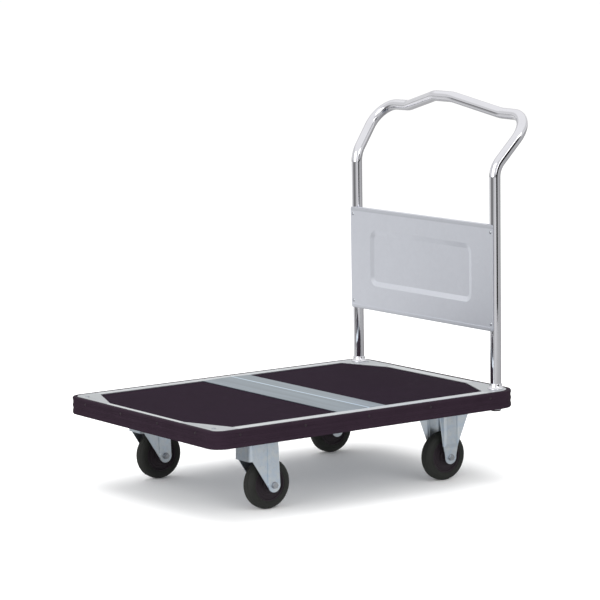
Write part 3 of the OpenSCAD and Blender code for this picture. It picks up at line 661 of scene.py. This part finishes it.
class TROLLEY_OT_deck(bpy.types.Operator):
    """Finishes the rails, castings, band, mats and the frame under them"""

    bl_idname = "trolley.deck"
    bl_label = "Deck"

    def execute(self, context):
        colours = context.scene.trolley_colours
        lengthwise = drawn_finish("rail_lengthwise", colours.aluminium, (0.03, 1.0, 1.0))
        crosswise = drawn_finish("rail_crosswise", colours.aluminium, (1.0, 0.03, 1.0))
        dress(("left_rail", "right_rail"), lengthwise, 0.0007)
        dress(("front_rail", "rear_rail"), crosswise, 0.0007)
        corners = [f"{end}_{side}_corner" for end in ("front", "rear") for side in SIDES]
        dress(corners, cast_finish("corner_casting", colours.casting), 0.0008)
        low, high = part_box("centre_band")
        ridge = low.x + RIDGE_SHARE * (high.x - low.x)
        dress(("centre_band",), band_finish("band_sheet", colours.band, ridge), 0.0006)
        mat = rubber_finish("mat_rubber", colours.mat, 0.0022, 0.00025, 0.66)
        dress(("front_mat", "rear_mat"), mat, 0.0008)
        under = zinc_finish("frame_steel", colours.steel, 0.38)
        frame_nodes = ("deck_pan", "left_channel", "right_channel", "front_crossbar",
                       "rear_crossbar")
        dress(frame_nodes, under, 0.0006)
        return {"FINISHED"}


class TROLLEY_OT_bumper(bpy.types.Operator):
    """Finishes the rubber strip round the deck"""

    bl_idname = "trolley.bumper"
    bl_label = "Bumper"

    def execute(self, context):
        colours = context.scene.trolley_colours
        rubber = rubber_finish("bumper_rubber", colours.bumper, 0.0016, 0.00006, 0.56)
        dress(("bumper",), rubber, 0.0003)
        return {"FINISHED"}


class TROLLEY_OT_handle(bpy.types.Operator):
    """Finishes the tube, collars, caps and sheet panel, and the rivets of the bumper"""

    bl_idname = "trolley.handle"
    bl_label = "Handle"

    def execute(self, context):
        colours = context.scene.trolley_colours
        chrome = chrome_finish("handle_chrome", colours.chrome)
        dress(("handle_tube",), chrome)
        dress(("post_collars",), chrome, 0.0004)
        low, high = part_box("handle_panel")
        sheet = panel_finish("panel_sheet", colours.panel, low.z, high.z)
        dress(("handle_panel",), sheet, 0.0006)
        caps = ("post_caps", "bumper_rivets")
        dress(caps, moulded_finish("cap_plastic", colours.hub), 0.0004)
        return {"FINISHED"}


class TROLLEY_OT_casters(bpy.types.Operator):
    """Finishes the plates, forks and small parts of the casters"""

    bl_idname = "trolley.casters"
    bl_label = "Casters"

    def execute(self, context):
        colours = context.scene.trolley_colours
        zinc = zinc_finish("caster_zinc", colours.zinc)
        plates = [f"{side}_swivel_{part}" for side in SIDES for part in ("plate", "cup")]
        forks = [f"{side}_{kind}_fork" for side in SIDES for kind in ("swivel", "fixed")]
        dress(plates, zinc, 0.0005)
        dress(forks, zinc, 0.0008)
        return {"FINISHED"}


class TROLLEY_OT_fasteners(bpy.types.Operator):
    """Finishes the bolts, nuts, screws, rivets, balls and sleeves"""

    bl_idname = "trolley.fasteners"
    bl_label = "Fasteners"

    def execute(self, context):
        colours = context.scene.trolley_colours
        steel = bolt_finish("fastener_steel", colours.steel)
        loose = ["corner_screws", "caster_bolts", "caster_nuts"]
        loose += ["panel_rivets", "post_bolts"]
        for side in SIDES:
            loose += [f"{side}_swivel_{part}" for part in ("kingpin", "axle_bolt", "axle_nut")]
            loose += [f"{side}_fixed_{part}" for part in ("axle_bolt", "axle_nut")]
        dress(loose, steel, 0.0003)
        hidden = [f"{side}_swivel_balls" for side in SIDES]
        hidden += [f"{side}_{kind}_sleeve" for side in SIDES for kind in ("swivel", "fixed")]
        dress(hidden, steel)
        return {"FINISHED"}


class TROLLEY_OT_wheels(bpy.types.Operator):
    """Makes the four tyres and finishes the hubs"""

    bl_idname = "trolley.wheels"
    bl_label = "Wheels"

    def execute(self, context):
        colours = context.scene.trolley_colours
        sizes = context.scene.trolley_wheels
        hub = moulded_finish("hub_plastic", colours.hub)
        for side in SIDES:
            for kind in ("swivel", "fixed"):
                dress((f"{side}_{kind}_hub",), hub, 0.0004)
                self.make_tyre(f"{side}_{kind}", colours.tyre, sizes)
        return {"FINISHED"}

    def make_tyre(self, which, colour, sizes):
        low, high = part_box(f"{which}_tyre")
        centre = (low + high) / 2
        outer = (high.z - low.z) / 2
        half = (high.y - low.y) / 2
        rim = outer - RIM_BAND
        rim_y = half - 0.0018
        outline = self.half_outline(outer, half, rim, rim_y, sizes)
        mirrored = [(radius, -y) for radius, y in reversed(outline)]
        material = tyre_finish(f"{which}_tyre_rubber", colour, centre)
        tyre = lathe(f"{which}_tyre_shaped", outline + mirrored, centre, sizes.segments, material)
        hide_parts(f"{which}_tyre")
        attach(tyre, f"{which}_wheel")

    def half_outline(self, outer, half, rim, rim_y, sizes):
        """From the rim out over the side wall to the middle of the tread."""
        shoulder = 0.012
        line = [(rim, rim_y), (rim + 0.0004, half - 0.0012), (rim + 0.0010, half - 0.0006)]
        line += [(rim + 0.0022, half - 0.0004), (rim + 0.0042, half - 0.0001)]
        line += [(rim + 0.0052, half - 0.0001), (rim + 0.0056, half - 0.0005)]
        line += [(rim + 0.0062, half - 0.0005), (rim + 0.0066, half - 0.0001)]
        start = outer - shoulder
        for radius, y in corner_arc(start, half - shoulder, shoulder, 90, 22, 12):
            line.append((radius, y))
        last_r, last_y = line[-1]
        line.append((last_r + 0.0001, last_y - 0.0004))
        line.append((last_r - sizes.groove, last_y - 0.0006))
        line.append((last_r - sizes.groove, last_y - 0.0010))
        line.append((last_r + 0.0005, last_y - 0.0013))
        tread_y = last_y - 0.0030
        line += [(outer - 0.0003, tread_y), (outer - 0.0001, tread_y * 0.6)]
        line += [(outer - sizes.seam, 0.0006), (outer, 0.0002)]
        return line


class TROLLEY_OT_stage(bpy.types.Operator):
    """Makes the floor, the lights and the camera"""

    bl_idname = "trolley.stage"
    bl_label = "Stage"

    def execute(self, context):
        stage = context.scene.trolley_stage
        self.make_floor(stage)
        self.make_sky(context, stage)
        for lamp in LAMPS:
            self.make_light(*lamp)
        self.make_studio()
        self.make_flag(stage)
        self.make_camera(context, stage)
        return {"FINISHED"}

    def make_floor(self, stage):
        look = Finish("floor_paper", Roughness=0.9, Specular_IOR_Level=0.1)
        grain = look.noise(0.002, 2.0)
        paper = look.wear(
            base_color=look.mix(grain, shade(stage.floor, 0.985), stage.floor),
            normal=look.bump(grain, 0.00002),
        )
        mesh = bmesh.new()
        reach = FLOOR_REACH
        corners = ((-reach, -reach), (reach, -reach), (reach, reach), (-reach, reach))
        mesh.faces.new([mesh.verts.new((x, y, 0.0)) for x, y in corners])
        floor = finished("floor", mesh, paper)

    def make_sky(self, context, stage):
        world = bpy.data.worlds.new("sky")
        world.use_nodes = True
        background = world.node_tree.nodes["Background"]
        background.inputs["Color"].default_value = (1.0, 1.0, 1.0, 1.0)
        background.inputs["Strength"].default_value = stage.sky
        context.scene.world = world

    def make_light(self, name, place, size, power, mirrored):
        lamp = bpy.data.lights.new(name, "AREA")
        lamp.shape = "RECTANGLE"
        lamp.size, lamp.size_y = size
        lamp.energy = power
        light = bpy.data.objects.new(name, lamp)
        light.location = place
        aim = Vector((0.0, 0.0, 0.4)) - Vector(place)
        light.rotation_euler = aim.to_track_quat("-Z", "Y").to_euler()
        light.visible_camera = False
        light.visible_glossy = mirrored
        bpy.context.scene.collection.objects.link(light)

    def make_studio(self):
        """Grey floor and skyline of a studio, seen only in reflections."""
        look = Finish("studio_floor", **GLOW)
        angle = look.node("ShaderNodeMath", {"operation": "ARCTAN2"},
                          {0: look.axis("Y"), 1: look.axis("X")})
        away = look.node("ShaderNodeVectorMath", {"operation": "LENGTH"}, {0: look.place()},
                         output="Value")
        near = look.ramp(away / 10, *NEAR_TONES)
        tone = look.ramp(angle / (2 * math.pi) + 0.5, *STUDIO_TONES) * near
        mesh = bmesh.new()
        bmesh.ops.create_circle(mesh, cap_ends=True, segments=96, radius=STUDIO_RADIUS)
        bmesh.ops.translate(mesh, verts=mesh.verts, vec=(0.0, 0.0, 0.0005))
        self.mirror_only("studio_floor", mesh, look.wear(emission_color=tone))
        look = Finish("studio_skyline", **GLOW)
        tone = look.ramp(look.axis("Z") / SKYLINE_HEIGHT, *SKYLINE_TONES)
        mesh = bmesh.new()
        bmesh.ops.create_cone(mesh, cap_ends=False, segments=96, radius1=SKYLINE_RADIUS,
                              radius2=SKYLINE_RADIUS, depth=SKYLINE_HEIGHT)
        bmesh.ops.translate(mesh, verts=mesh.verts, vec=(0.0, 0.0, SKYLINE_HEIGHT / 2))
        self.mirror_only("studio_skyline", mesh, look.wear(emission_color=tone))

    def make_flag(self, stage):
        """Dark card beside the camera, seen only in reflections."""
        look = Finish("flag_cloth", Roughness=1.0, Specular_IOR_Level=0.0)
        cloth = look.wear(base_color=look.mix(look.noise(0.01), (0.004,) * 3, (0.012,) * 3))
        mesh = bmesh.new()
        turn = Matrix.Rotation(stage.azimuth + FLAG_TURN, 3, "Z")
        edges = ((-FLAG_HALF, 0.0), (FLAG_HALF, 0.0), (FLAG_HALF, FLAG_HEIGHT),
                 (-FLAG_HALF, FLAG_HEIGHT))
        spots = [(x, -FLAG_AWAY, z) for x, z in edges]
        mesh.faces.new([mesh.verts.new(turn @ Vector(spot)) for spot in spots])
        self.mirror_only("flag", mesh, cloth)

    def mirror_only(self, name, mesh, material):
        card = finished(name, mesh, material)
        for ray in ("camera", "diffuse", "shadow", "transmission", "volume_scatter"):
            setattr(card, f"visible_{ray}", False)

    def make_camera(self, context, stage):
        """Looks at the aim from the given side; roll turns the picture's axes."""
        azimuth, elevation = stage.azimuth, stage.elevation
        level = math.cos(elevation)
        back = Vector(
            (math.sin(azimuth) * level, -math.cos(azimuth) * level, math.sin(elevation))
        )
        right = Vector((math.cos(azimuth), math.sin(azimuth), 0.0))
        up = back.cross(right)
        across = math.cos(stage.roll) * right + math.sin(stage.roll) * up
        upward = math.cos(stage.roll) * up - math.sin(stage.roll) * right
        lens = bpy.data.cameras.new("camera")
        lens.lens = stage.lens
        lens.sensor_width = 36.0
        lens.clip_end = 200.0
        camera = bpy.data.objects.new("camera", lens)
        turn = Matrix((across, upward, back)).transposed().to_4x4()
        spot = Vector(stage.aim) + stage.distance * back
        camera.matrix_world = Matrix.Translation(spot) @ turn
        context.scene.collection.objects.link(camera)
        context.scene.camera = camera
        context.scene.view_settings.view_transform = "Standard"


class TROLLEY_PT_sidebar(bpy.types.Panel):
    """Buttons for the steps and fields for the settings"""

    bl_label = "Platform trolley"
    bl_idname = "TROLLEY_PT_sidebar"
    bl_space_type = "VIEW_3D"
    bl_region_type = "UI"
    bl_category = "Trolley"

    def draw(self, context):
        for name in STEPS:
            self.layout.operator(f"trolley.{name}")
        scene = context.scene
        for group in (scene.trolley_colours, scene.trolley_wheels, scene.trolley_stage):
            box = self.layout.box()
            for setting in group.__annotations__:
                box.prop(group, setting)


STEPS = ("stage", "deck", "bumper", "handle", "casters", "fasteners", "wheels")

CLASSES = (
    TrolleyColours,
    TrolleyWheels,
    TrolleyStage,
    TROLLEY_OT_stage,
    TROLLEY_OT_deck,
    TROLLEY_OT_bumper,
    TROLLEY_OT_handle,
    TROLLEY_OT_casters,
    TROLLEY_OT_fasteners,
    TROLLEY_OT_wheels,
    TROLLEY_PT_sidebar,
)


def register():
    for kind in CLASSES:
        bpy.utils.register_class(kind)
    bpy.types.Scene.trolley_colours = PointerProperty(type=TrolleyColours)
    bpy.types.Scene.trolley_wheels = PointerProperty(type=TrolleyWheels)
    bpy.types.Scene.trolley_stage = PointerProperty(type=TrolleyStage)


def unregister():
    del bpy.types.Scene.trolley_stage
    del bpy.types.Scene.trolley_wheels
    del bpy.types.Scene.trolley_colours
    for kind in reversed(CLASSES):
        bpy.utils.unregister_class(kind)


def main():
    register()
    for name in STEPS:
        getattr(bpy.ops.trolley, name)()


if __name__ == "__main__":
    main()
